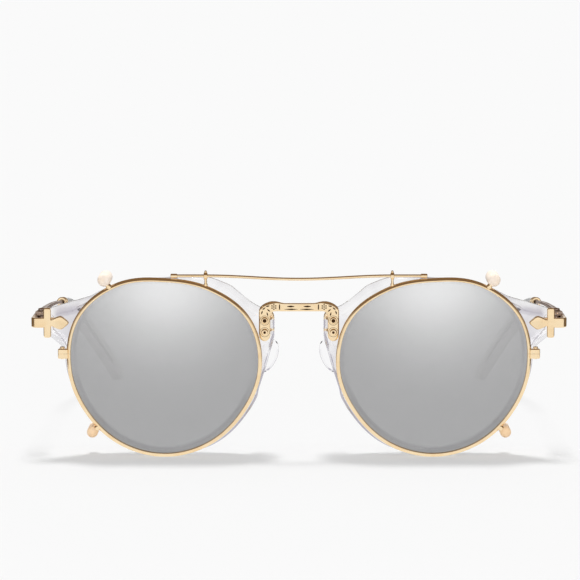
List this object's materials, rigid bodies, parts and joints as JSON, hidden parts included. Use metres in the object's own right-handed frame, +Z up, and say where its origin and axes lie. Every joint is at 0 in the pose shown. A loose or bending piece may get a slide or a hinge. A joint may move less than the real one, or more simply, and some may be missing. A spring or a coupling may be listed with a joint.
{
  "type": "round eyeglass frame with mirror clip-on",
  "caption": "Round clear eyeglass frame with gold bridge, folding gold temples and a removable gold-rimmed silver mirror clip-on joined by a thin brow bar.",
  "frame": {"origin": "centre of the bounding box on the plane that the rims and temple tips stand on", "axes": "+Z up; the front faces -Y and the temples run towards +Y; +X is the right of the picture"},
  "size_m": [0.1438, 0.135, 0.0504],
  "materials": {
    "polished_gold": "polished pale gold plating",
    "clear_acetate": "polished clear acetate, faint cool tint",
    "clear_lens": "clear lens",
    "silver_mirror_lens": "neutral silver mirror coating",
    "soft_sleeve": "soft translucent cream silicone",
    "core_steel": "satin core wire"
  },
  "bodies": {
    "front_frame": {"bridge": "polished_gold", "left_eye_rim": "clear_acetate", "left_optical_lens": "clear_lens", "left_nose_pad": "clear_acetate", "left_bridge_screw": "polished_gold", "left_bridge_rivet": "polished_gold", "left_end_piece": "polished_gold", "left_lozenge_pin": "polished_gold", "left_neck_pin": "polished_gold", "left_hinge_screw": "polished_gold", "right_eye_rim": "clear_acetate", "right_optical_lens": "clear_lens", "right_nose_pad": "clear_acetate", "right_bridge_screw": "polished_gold", "right_bridge_rivet": "polished_gold", "right_end_piece": "polished_gold", "right_lozenge_pin": "polished_gold", "right_neck_pin": "polished_gold", "right_hinge_screw": "polished_gold"},
    "left_temple": {"left_temple_arm": "polished_gold", "left_ferrule": "polished_gold", "left_temple_tip": "clear_acetate", "left_core_wire": "core_steel"},
    "right_temple": {"right_temple_arm": "polished_gold", "right_ferrule": "polished_gold", "right_temple_tip": "clear_acetate", "right_core_wire": "core_steel"},
    "clip_on": {"brow_bar": "polished_gold", "left_clip_rim": "polished_gold", "left_clip_lens": "silver_mirror_lens", "left_clip_lock_screw": "polished_gold", "left_bar_post": "polished_gold", "left_upper_hook": "polished_gold", "left_upper_sleeve": "soft_sleeve", "left_lower_hook": "polished_gold", "left_lower_sleeve": "soft_sleeve", "right_clip_rim": "polished_gold", "right_clip_lens": "silver_mirror_lens", "right_clip_lock_screw": "polished_gold", "right_bar_post": "polished_gold", "right_upper_hook": "polished_gold", "right_upper_sleeve": "soft_sleeve", "right_lower_hook": "polished_gold", "right_lower_sleeve": "soft_sleeve"}
  },
  "joints": [
    {"name": "left_temple_fold", "type": "hinge", "parent": "front_frame", "child": "left_temple", "pos_m": [-0.0698, -0.05325, 0.0361], "axis": [0, 0, -1], "range_deg": [0, 84]},
    {"name": "right_temple_fold", "type": "hinge", "parent": "front_frame", "child": "right_temple", "pos_m": [0.0698, -0.05325, 0.0361], "axis": [0, 0, 1], "range_deg": [0, 79]},
    {"name": "clip_on_pull", "type": "slide", "parent": "front_frame", "child": "clip_on", "axis": [0, -1, 0], "range_m": [0, 0.03]}
  ]
}
